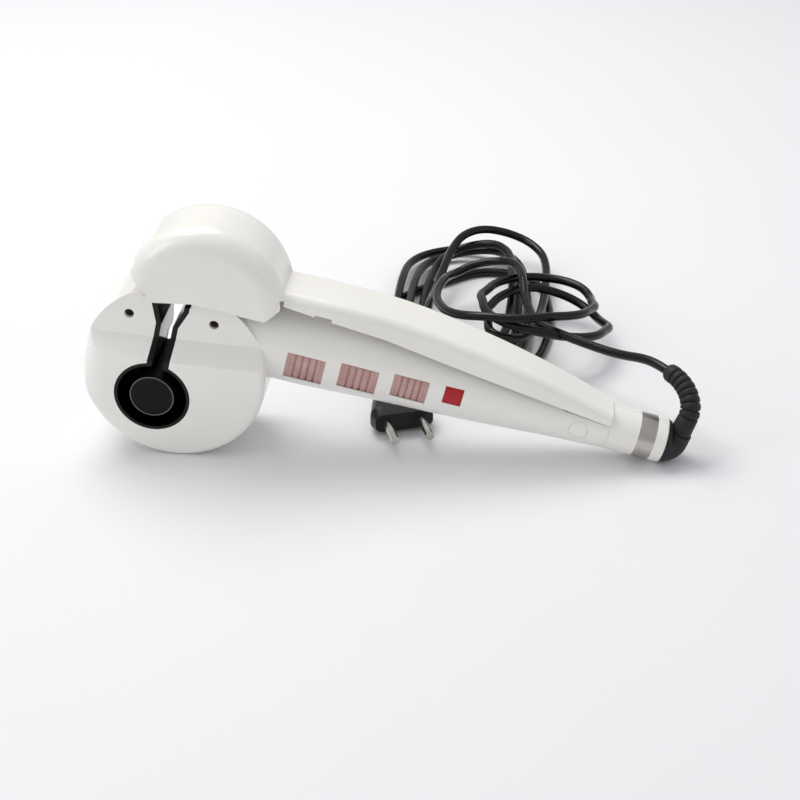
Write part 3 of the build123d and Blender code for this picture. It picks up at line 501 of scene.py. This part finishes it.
# ---------------------------------------------------------------- barrel cap
# A dished black disc that closes the barrel's mouth and keeps fingers off the heater. Its flange covers the
# barrel's end, and its outer ring is painted grey as a highlight, so it shows as a thin ring.

low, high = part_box("heated_barrel")
CAP_R = (high.x - low.x) / 2 - 0.0001
CAP_FLANGE = 0.0009
CAP_PROUD = 0.0003       # how far the flange stands out in front of the barrel's end
RIM_WIDTH = 0.0005
# the disc's steps from the rim inwards: width and how much deeper each goes
CAP_STEPS = ((RIM_WIDTH, 0.0), (0.0004, -0.0003), (0.0030, -0.0001), (0.0028, -0.0001))
cap_middle = Vector(((low.x + high.x) / 2, low.y + CAP_FLANGE / 2 - CAP_PROUD, (low.z + high.z) / 2))
bpy.ops.mesh.primitive_cylinder_add(
    vertices=96, radius=CAP_R, depth=CAP_FLANGE, end_fill_type="NGON",
    location=cap_middle, rotation=(math.pi / 2, 0, 0),
)
cap = bpy.context.active_object
cap.name = "barrel_cap_disc"
bpy.ops.object.transform_apply(location=True, rotation=True, scale=True)
bpy.ops.object.mode_set(mode="EDIT")
bpy.ops.mesh.select_mode(type="FACE")
bpy.ops.mesh.select_all(action="DESELECT")
bpy.ops.object.mode_set(mode="OBJECT")
for face in cap.data.polygons:
    face.select = face.normal.y < -0.9
bpy.ops.object.mode_set(mode="EDIT")
for thickness, depth in CAP_STEPS:
    bpy.ops.mesh.inset(thickness=thickness, depth=depth)
bpy.ops.object.mode_set(mode="OBJECT")
bevel = cap.modifiers.new("edges", "BEVEL")
bevel.width = 0.00008
bevel.segments = 2
bpy.ops.object.modifier_apply(modifier="edges")
bpy.ops.object.shade_smooth_by_angle(angle=math.radians(30))

cap_black, tree, shader = new_material("black_satin_pps", IOR=1.5, Specular_IOR_Level=0.15)
place = add(tree, "TexCoord").outputs["Object"]
cloud = add(tree, "TexNoise", {"Vector": place, "Scale": 90.0, "Detail": 4.0})
tones = add(tree, "ValToRGB", {"Fac": cloud.outputs["Fac"]})
tones.color_ramp.elements[0].color = srgb("050506")
tones.color_ramp.elements[1].color = srgb("0B0B0D")
tree.links.new(tones.outputs["Color"], shader.inputs["Base Color"])
gloss = add(tree, "MapRange", {"Value": cloud.outputs["Fac"], "To Min": 0.4, "To Max": 0.52})
tree.links.new(gloss.outputs["Result"], shader.inputs["Roughness"])
cap.data.materials.append(cap_black)
# The grey of the rim is a painted highlight, not the flange's own colour.
painted_highlight_rim, tree, shader = new_material("rim_painted_highlight", Metallic=0.4)
place = add(tree, "TexCoord").outputs["Object"]
cloud = add(tree, "TexNoise", {"Vector": place, "Scale": 400.0, "Detail": 4.0})
tones = add(tree, "ValToRGB", {"Fac": cloud.outputs["Fac"]})
tones.color_ramp.elements[0].color = srgb("5A5A5E")
tones.color_ramp.elements[1].color = srgb("78787C")
tree.links.new(tones.outputs["Color"], shader.inputs["Base Color"])
gloss = add(tree, "MapRange", {"Value": cloud.outputs["Fac"], "To Min": 0.35, "To Max": 0.5})
tree.links.new(gloss.outputs["Result"], shader.inputs["Roughness"])
cap.data.materials.append(painted_highlight_rim)
# the faces of the outer ring take the grey painted highlight
for face in cap.data.polygons:
    offset = face.center - cap_middle
    if math.hypot(offset.x, offset.z) > CAP_R - RIM_WIDTH:
        face.material_index = 1
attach(cap, "root")
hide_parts("barrel_cap")


# ---------------------------------------------------------------- place on the tool
# The tool lies tilted on the table. Pieces on its handle are set out along its own axis, from the hinge pin,
# and then turned with it.

TILT = math.radians(13.878)
low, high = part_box("hinge_pin")
PIN_PLACE = (low + high) / 2
PIN_ALONG = 0.2093       # the pin's place along the tool, from the drum's middle
PIN_UP = -0.0003
ALONG = Vector((math.cos(TILT), 0, -math.sin(TILT)))
UP = Vector((math.sin(TILT), 0, math.cos(TILT)))


def on_tool(along, across, up):
    """A point on the tool: along its axis from the drum's middle, across it, and up from the axis."""
    return PIN_PLACE + ALONG * (along - PIN_ALONG) + UP * (up - PIN_UP) + Vector((0, across, 0))


# ---------------------------------------------------------------- slide knobs
# Three slide knobs behind their windows, moulded in ABS and sprayed a dusty metallic rose. Each is a curved
# plate with a wide pad at each end and three ribs between deep grooves for the thumb.

# the handle's oval where the windows are: along, half width, middle height, half height
HANDLE = [(50, 17.0, -1.5, 21.3), (71, 16.5, -0.8, 21.3), (102, 16.0, 0.2, 20.2), (134, 15.5, 0.0, 18.2)]
HANDLE += [(167, 14.5, -0.5, 15.5)]
# each window's middle, along and up, its width and its height
KNOBS = {
    "temperature": (64.7, -5.4, 20.0, 16.0),
    "timer": (92.6, -3.2, 20.0, 15.0),
    "direction": (119.6, -1.0, 18.6, 13.6),
}
KNOB_TRAVEL = 1.8
KNOB_REACH = KNOB_TRAVEL + 0.2    # how far the plate runs on beside the window, under the shell
KNOB_LIP = 1.2           # and above and below it
KNOB_THICK = 1.0
KNOB_SINK = 0.40         # ribs and pads below the shell's face
RIM_SINK = 0.85          # the rim that slides under the window's edge
RIM_SLOPE = 0.5          # width of the slope between them
RIM_HEIGHT = 0.9         # height of the rim that shows above and below the ribs
GROOVE_DEPTH = 1.1
GROOVES = (-0.27, -0.09, 0.09, 0.27)
GROOVE_HALF = 0.020      # half a groove's width, as a share of the window's width
GROOVE_EDGE = 1.9        # how far the groove's worn edge reaches, in halves of its width
EDGE_DEPTH = 0.12        # and its depth, as a share of the groove's
KNOB_COLUMNS = 188       # points across a knob's plate
KNOB_ROWS = 40

rose, tree, shader = new_material(
    "sprayed_rose_metallic", IOR=1.5, Metallic=0.35, Coat_Weight=0.3, Coat_Roughness=0.2,
)
place = add(tree, "TexCoord").outputs["Object"]
cloud = add(tree, "TexNoise", {"Vector": place, "Scale": 120.0, "Detail": 5.0})
tones = add(tree, "ValToRGB", {"Fac": cloud.outputs["Fac"]})
tones.color_ramp.elements[0].position = 0.3
tones.color_ramp.elements[0].color = srgb("B98F8A")
tones.color_ramp.elements[1].position = 0.7
tones.color_ramp.elements[1].color = srgb("CBA6A0")
tree.links.new(tones.outputs["Color"], shader.inputs["Base Color"])
# metallic flakes in the spray, drawn at 0.25 mm
flakes = add(tree, "TexVoronoi", {"Vector": place, "Scale": 4000.0})
distance = flakes.outputs["Distance"]
gloss = add(tree, "MapRange", {"Value": distance, "From Max": 0.8, "To Min": 0.3, "To Max": 0.5})
tree.links.new(gloss.outputs["Result"], shader.inputs["Roughness"])


def face_at(along, up):
    """The shell's face, out from the tool's middle plane."""
    for (x0, *low), (x1, *high) in zip(HANDLE, HANDLE[1:]):
        if x0 <= along <= x1:
            share = (along - x0) / (x1 - x0)
            half, middle, rise = (a + (b - a) * share for a, b in zip(low, high))
    return half * math.sqrt(max(0.0, 1 - ((up - middle) / rise) ** 2))


def curved_plate(name, sizes, columns, rows, reach, rise_more, sink_at, thick):
    """A plate that follows the handle's oval, and lies sink_at(u, v) below it; u and v go from -1 to 1."""
    along, up, width, height = sizes
    bpy.ops.object.select_all(action="DESELECT")
    bpy.ops.mesh.primitive_grid_add(x_subdivisions=columns, y_subdivisions=rows, size=2.0)
    piece = bpy.context.active_object
    piece.name = name
    for vertex in piece.data.vertices:
        u, v = vertex.co.x, vertex.co.y
        x = along + u * (width / 2 + reach)
        z = up + v * (height / 2 + rise_more)
        vertex.co = on_tool(x / 1000, -(face_at(x, z) - sink_at(u, v)) / 1000, z / 1000)
    wall = piece.modifiers.new("wall", "SOLIDIFY")
    wall.thickness = thick / 1000
    wall.offset = -1.0
    bpy.ops.object.modifier_apply(modifier="wall")
    bpy.ops.object.mode_set(mode="EDIT")
    bpy.ops.mesh.select_all(action="SELECT")
    bpy.ops.mesh.normals_make_consistent(inside=False)
    bpy.ops.object.mode_set(mode="OBJECT")
    bpy.ops.object.shade_smooth_by_angle(angle=math.radians(40))
    return piece


for name, sizes in KNOBS.items():
    width, height = sizes[2], sizes[3]

    def knob_sink(u, v, width=width, height=height):
        x = u * (width / 2 + KNOB_REACH) / width
        sink = KNOB_SINK
        for groove in GROOVES:
            away = abs(x - groove)
            if away < GROOVE_HALF:
                sink = KNOB_SINK + GROOVE_DEPTH
            elif away < GROOVE_HALF * GROOVE_EDGE:
                sink = max(sink, KNOB_SINK + GROOVE_DEPTH * EDGE_DEPTH)
        rim_across = abs(x) * width - (width / 2 - KNOB_TRAVEL - RIM_SLOPE)
        rim_up = abs(v) * (height / 2 + KNOB_LIP) - (height / 2 - RIM_HEIGHT)
        rim = max(rim_across, rim_up)
        if rim > 0:
            sink = max(sink, KNOB_SINK + (RIM_SINK - KNOB_SINK) * min(1.0, rim / RIM_SLOPE))
        return sink

    knob = curved_plate(
        f"{name}_knob_plate", sizes, KNOB_COLUMNS, KNOB_ROWS, KNOB_REACH, KNOB_LIP, knob_sink, KNOB_THICK,
    )
    knob.data.materials.append(rose)
    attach(knob, f"{name}_slide")
    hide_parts(f"{name}_knob")


# ---------------------------------------------------------------- power lens
# A square lens of clear red acrylic, snapped into the front shell over a small lamp. Its middle is painted
# darker than its rim as shade, and its lower and right edges carry a painted glow.

LENS = (142.2, 1.4, 9.7, 9.7)
LENS_CORNER = 0.054      # how far a corner is drawn in, as a share of half its side
LENS_HALF = 0.0047
LENS_THICK = 2.0
LENS_PROUD = -0.2        # the lens stands 0.2 mm out of the shell's face
LENS_FLAT = 0.80         # the share of it that is flat, before its edge falls away
LENS_FALL = 0.45
LENS_GRID = 48


def lens_sink(u, v):
    out = (abs(u) ** 8 + abs(v) ** 8) ** (1 / 8)
    return LENS_PROUD + (max(0.0, out - LENS_FLAT) / (1 - LENS_FLAT)) ** 2 * LENS_FALL


lens = curved_plate("power_lens_window", LENS, LENS_GRID, LENS_GRID, 0.0, 0.0, lens_sink, LENS_THICK)
lens_middle = on_tool(LENS[0] / 1000, -face_at(LENS[0], LENS[1]) / 1000, LENS[1] / 1000)
for vertex in lens.data.vertices:
    offset = vertex.co - lens_middle
    u, v = offset.dot(ALONG) / LENS_HALF, offset.dot(UP) / LENS_HALF
    pull = LENS_CORNER * min(abs(u), abs(v)) ** 4
    vertex.co -= (ALONG * u + UP * v) * (pull * LENS_HALF)

red, tree, shader = new_material(
    "clear_red_acrylic", Roughness=0.12, IOR=1.49, Specular_IOR_Level=0.3,
    Transmission_Weight=0.2, Coat_Weight=0.15,
)
# painted shade in its upper middle, and a painted glow along its lower and right edges
centred = add(tree, "Mapping", {
    "Vector": add(tree, "TexCoord").outputs["Object"],
    "Location": tuple(-lens_middle), "Scale": (1.0, 0.0, 1.0),
})
# the darkest point of the painted shade sits a little above the lens's middle
painted_shade_centre = add(tree, "VectorMath", {0: centred.outputs["Vector"], 1: (0.0004, 0.0, -0.0010)}, operation="ADD")
away = add(tree, "VectorMath", {0: painted_shade_centre.outputs["Vector"]}, operation="LENGTH")
shade = add(tree, "ValToRGB", {
    "Fac": add(tree, "Math", {0: away.outputs["Value"], 1: 150.0}, operation="MULTIPLY").outputs[0],
})
shade.color_ramp.elements[0].position = 0.15
shade.color_ramp.elements[0].color = srgb("5E030B")
shade.color_ramp.elements[1].position = 0.9
shade.color_ramp.elements[1].color = srgb("C00E1C")
tree.links.new(shade.outputs["Color"], shader.inputs["Base Color"])
lens.data.materials.append(red)
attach(lens, "root")
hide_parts("power_lens")

# The lamp behind it is a 3 mm red diffused diode.
diode, tree, shader = new_material("diffused_red_epoxy", Roughness=0.3, IOR=1.5, Transmission_Weight=0.2)
place = add(tree, "TexCoord").outputs["Object"]
cloud = add(tree, "TexNoise", {"Vector": place, "Scale": 400.0, "Detail": 2.0})
tones = add(tree, "ValToRGB", {"Fac": cloud.outputs["Fac"]})
tones.color_ramp.elements[0].color = srgb("A31A1E")
tones.color_ramp.elements[1].color = srgb("C22A2C")
tree.links.new(tones.outputs["Color"], shader.inputs["Base Color"])
dress(diode, "power_lamp")


# ---------------------------------------------------------------- steel band
# A drawn stainless sleeve round the tail, brushed round its girth, so it throws long bright and dark streaks
# along the tool's axis.

steel, tree, shader = new_material("brushed_stainless", Metallic=1.0, Anisotropic=0.6)
turned = add(tree, "Mapping", {
    "Vector": add(tree, "TexCoord").outputs["Object"],
    "Rotation": (0.0, TILT, 0.0), "Scale": (1.0, 0.01, 0.01),
})
# brush lines, 0.05 mm apart, drawn at 0.2 mm
brush = add(tree, "TexNoise", {"Vector": turned.outputs["Vector"], "Scale": 5000.0, "Detail": 3.0})
tones = add(tree, "ValToRGB", {"Fac": brush.outputs["Fac"]})
tones.color_ramp.elements[0].color = srgb("B5B1AB")
tones.color_ramp.elements[1].color = srgb("C2BEB8")
tree.links.new(tones.outputs["Color"], shader.inputs["Base Color"])
gloss = add(tree, "MapRange", {"Value": brush.outputs["Fac"], "To Min": 0.2, "To Max": 0.36})
tree.links.new(gloss.outputs["Result"], shader.inputs["Roughness"])
bump = add(tree, "Bump", {"Height": brush.outputs["Fac"], "Strength": 0.03, "Distance": 0.00002})
tree.links.new(bump.outputs["Normal"], shader.inputs["Normal"])
dress(steel, "steel_band")


# ---------------------------------------------------------------- screws, pin and motor
# Self-tapping screws in black oxide at the bottom of their recesses, a ground steel hinge pin, and a small
# direct current motor in a zinc-plated can.

oxide, tree, shader = new_material("black_oxide_steel", Metallic=0.7)
place = add(tree, "TexCoord").outputs["Object"]
cloud = add(tree, "TexNoise", {"Vector": place, "Scale": 500.0, "Detail": 4.0})
tones = add(tree, "ValToRGB", {"Fac": cloud.outputs["Fac"]})
tones.color_ramp.elements[0].color = srgb("1B1712")
tones.color_ramp.elements[1].color = srgb("3A3228")
tree.links.new(tones.outputs["Color"], shader.inputs["Base Color"])
gloss = add(tree, "MapRange", {"Value": cloud.outputs["Fac"], "To Min": 0.35, "To Max": 0.55})
tree.links.new(gloss.outputs["Result"], shader.inputs["Roughness"])
dress(oxide, "neck_screws", "body_screws")

zinc, tree, shader = new_material("zinc_plated_steel", Metallic=1.0)
place = add(tree, "TexCoord").outputs["Object"]
cloud = add(tree, "TexNoise", {"Vector": place, "Scale": 180.0, "Detail": 4.0})
tones = add(tree, "ValToRGB", {"Fac": cloud.outputs["Fac"]})
tones.color_ramp.elements[0].color = srgb("A9ABAD")
tones.color_ramp.elements[1].color = srgb("C6C8CA")
tree.links.new(tones.outputs["Color"], shader.inputs["Base Color"])
gloss = add(tree, "MapRange", {"Value": cloud.outputs["Fac"], "To Min": 0.22, "To Max": 0.36})
tree.links.new(gloss.outputs["Result"], shader.inputs["Roughness"])
dress(zinc, "hinge_pin", "drive_motor")


# ---------------------------------------------------------------- return spring
# A coil spring of 0.8 mm music wire stands in its cup under the arm and pushes the jaw open. Its end turns
# lie flat.

SPRING_ALONG = 0.158
SPRING_LOW = 0.0074
SPRING_HIGH = 0.0236
SPRING_R = 0.0038
WIRE_R = 0.0004
COILS = 7
COIL_STEPS = 20
coil = []
for step in range(COILS * COIL_STEPS + 1):
    share = step / (COILS * COIL_STEPS)
    rise = min(max((share * COILS - 0.8) / (COILS - 1.6), 0.0), 1.0)
    lift = WIRE_R * 2 * (min(share * COILS, 0.8) + max(0.0, share * COILS - COILS + 0.8)) / 0.8 * 0.5
    angle = 2 * math.pi * step / COIL_STEPS
    height = SPRING_LOW + WIRE_R + lift + rise * (SPRING_HIGH - SPRING_LOW - 4 * WIRE_R)
    coil.append(on_tool(SPRING_ALONG + SPRING_R * math.cos(angle), SPRING_R * math.sin(angle), height))
wire_length = sum((b - a).length for a, b in zip(coil, coil[1:]))
WIRE_RINGS = COILS * COIL_STEPS * 2
wire_profile = [(wire_length * step / WIRE_RINGS, WIRE_R) for step in range(WIRE_RINGS + 1)]
spring = tube_along("return_spring_coil", coil, wire_profile, 10)
spring.data.polygons.foreach_set("use_smooth", [True] * len(spring.data.polygons))
spring.data.materials.append(zinc)
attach(spring, "root")
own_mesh(spring)
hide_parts("return_spring")


# ---------------------------------------------------------------- drive and electrics
# Gears, their frame and the start button are natural acetal. The slide switches and start switch have black
# nylon cases, the board is green-lacquered glass epoxy, and the heater is a fired alumina block with its fuse
# beside it.

acetal, tree, shader = new_material("natural_acetal", IOR=1.48, Subsurface_Weight=0.1, Subsurface_Scale=0.002)
place = add(tree, "TexCoord").outputs["Object"]
cloud = add(tree, "TexNoise", {"Vector": place, "Scale": 150.0, "Detail": 4.0})
tones = add(tree, "ValToRGB", {"Fac": cloud.outputs["Fac"]})
tones.color_ramp.elements[0].color = srgb("DDD9CC")
tones.color_ramp.elements[1].color = srgb("ECE9DF")
tree.links.new(tones.outputs["Color"], shader.inputs["Base Color"])
gloss = add(tree, "MapRange", {"Value": cloud.outputs["Fac"], "To Min": 0.32, "To Max": 0.45})
tree.links.new(gloss.outputs["Result"], shader.inputs["Roughness"])
dress(acetal, "idler_gear", "motor_pinion", "drive_pinion_upper", "drive_pinion_lower")
dress(acetal, "gear_frame", "start_button")

nylon, tree, shader = new_material("black_nylon", IOR=1.53)
place = add(tree, "TexCoord").outputs["Object"]
cloud = add(tree, "TexNoise", {"Vector": place, "Scale": 200.0, "Detail": 4.0})
tones = add(tree, "ValToRGB", {"Fac": cloud.outputs["Fac"]})
tones.color_ramp.elements[0].color = srgb("18181A")
tones.color_ramp.elements[1].color = srgb("252528")
tree.links.new(tones.outputs["Color"], shader.inputs["Base Color"])
gloss = add(tree, "MapRange", {"Value": cloud.outputs["Fac"], "To Min": 0.42, "To Max": 0.58})
tree.links.new(gloss.outputs["Result"], shader.inputs["Roughness"])
dress(nylon, "start_switch", "temperature_switch", "timer_switch", "direction_switch", "ion_generator")

epoxy, tree, shader = new_material("green_lacquered_epoxy", IOR=1.55, Coat_Weight=0.4, Coat_Roughness=0.15)
place = add(tree, "TexCoord").outputs["Object"]
# copper tracks under the lacquer, about 1 mm wide and close together
tracks = add(tree, "TexBrick", {"Vector": place, "Scale": 250.0, "Mortar Size": 0.12})
tracks.inputs["Color1"].default_value = srgb("1E5A34")
tracks.inputs["Color2"].default_value = srgb("1A5230")
tracks.inputs["Mortar"].default_value = srgb("2F7446")
tree.links.new(tracks.outputs["Color"], shader.inputs["Base Color"])
weave = add(tree, "TexNoise", {"Vector": place, "Scale": 900.0})
gloss = add(tree, "MapRange", {"Value": weave.outputs["Fac"], "To Min": 0.3, "To Max": 0.42})
tree.links.new(gloss.outputs["Result"], shader.inputs["Roughness"])
dress(epoxy, "circuit_board")

alumina, tree, shader = new_material("fired_alumina", Roughness=0.7, IOR=1.7)
place = add(tree, "TexCoord").outputs["Object"]
cloud = add(tree, "TexNoise", {"Vector": place, "Scale": 350.0, "Detail": 4.0})
tones = add(tree, "ValToRGB", {"Fac": cloud.outputs["Fac"]})
tones.color_ramp.elements[0].color = srgb("C9C4B6")
tones.color_ramp.elements[1].color = srgb("DDD9CC")
tree.links.new(tones.outputs["Color"], shader.inputs["Base Color"])
bump = add(tree, "Bump", {"Height": cloud.outputs["Fac"], "Strength": 0.2, "Distance": 0.0001})
tree.links.new(bump.outputs["Normal"], shader.inputs["Normal"])
dress(alumina, "heater", "thermal_fuse")


# ---------------------------------------------------------------- cord elbow
# The elbow is moulded in the same matt rubber as the boot, over a nylon neck that snaps into the end ring. It
# starts as wide as the ring and turns up to the cord in one smooth bend.

RING_END = 0.2558        # the end ring's outer face, along the tool
ELBOW_FOOT_R = 0.0113
ELBOW_OUTLET_R = 0.0063
ELBOW_REACH = 0.0062     # how far the bend runs straight on at each end
ELBOW_RINGS = 28
ELBOW_SIDES = 64
foot = on_tool(RING_END, 0, 0)
elbow_mesh = bmesh.new()
rings = []
outlet_side = Vector((0, 1, 0))
# a bend that leaves the ring squarely and meets the cord squarely
control = (foot, foot + ALONG * ELBOW_REACH, OUTLET - OUTLET_DIR * ELBOW_REACH, OUTLET)
for step in range(ELBOW_RINGS + 1):
    share = step / ELBOW_RINGS
    weights = ((1 - share) ** 3, 3 * share * (1 - share) ** 2, 3 * share ** 2 * (1 - share), share ** 3)
    middle = sum((point * weight for point, weight in zip(control, weights)), Vector())
    ahead = ALONG.lerp(OUTLET_DIR, share * share * (3 - 2 * share)).normalized()
    radius = ELBOW_FOOT_R + (ELBOW_OUTLET_R - ELBOW_FOOT_R) * math.sin(share * math.pi / 2) ** 1.5
    other = ahead.cross(outlet_side).normalized()
    rings.append([
        elbow_mesh.verts.new(
            middle + (outlet_side * math.cos(2 * math.pi * side / ELBOW_SIDES)
                      + other * math.sin(2 * math.pi * side / ELBOW_SIDES)) * radius
        )
        for side in range(ELBOW_SIDES)
    ])
for near, far in zip(rings, rings[1:]):
    for side in range(ELBOW_SIDES):
        after = (side + 1) % ELBOW_SIDES
        elbow_mesh.faces.new((near[side], near[after], far[after], far[side]))
elbow_mesh.faces.new(rings[0][::-1])
elbow_mesh.faces.new(rings[-1])
bmesh.ops.recalc_face_normals(elbow_mesh, faces=elbow_mesh.faces)
elbow_data = bpy.data.meshes.new("cord_elbow_bend")
elbow_mesh.to_mesh(elbow_data)
elbow_mesh.free()
elbow = bpy.data.objects.new("cord_elbow_bend", elbow_data)
bpy.context.scene.collection.objects.link(elbow)
elbow.data.materials.append(boot_rubber)
bpy.ops.object.select_all(action="DESELECT")
elbow.select_set(True)
bpy.context.view_layer.objects.active = elbow
bpy.ops.object.shade_smooth_by_angle(angle=math.radians(50))
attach(elbow, "root")
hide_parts("cord_elbow")
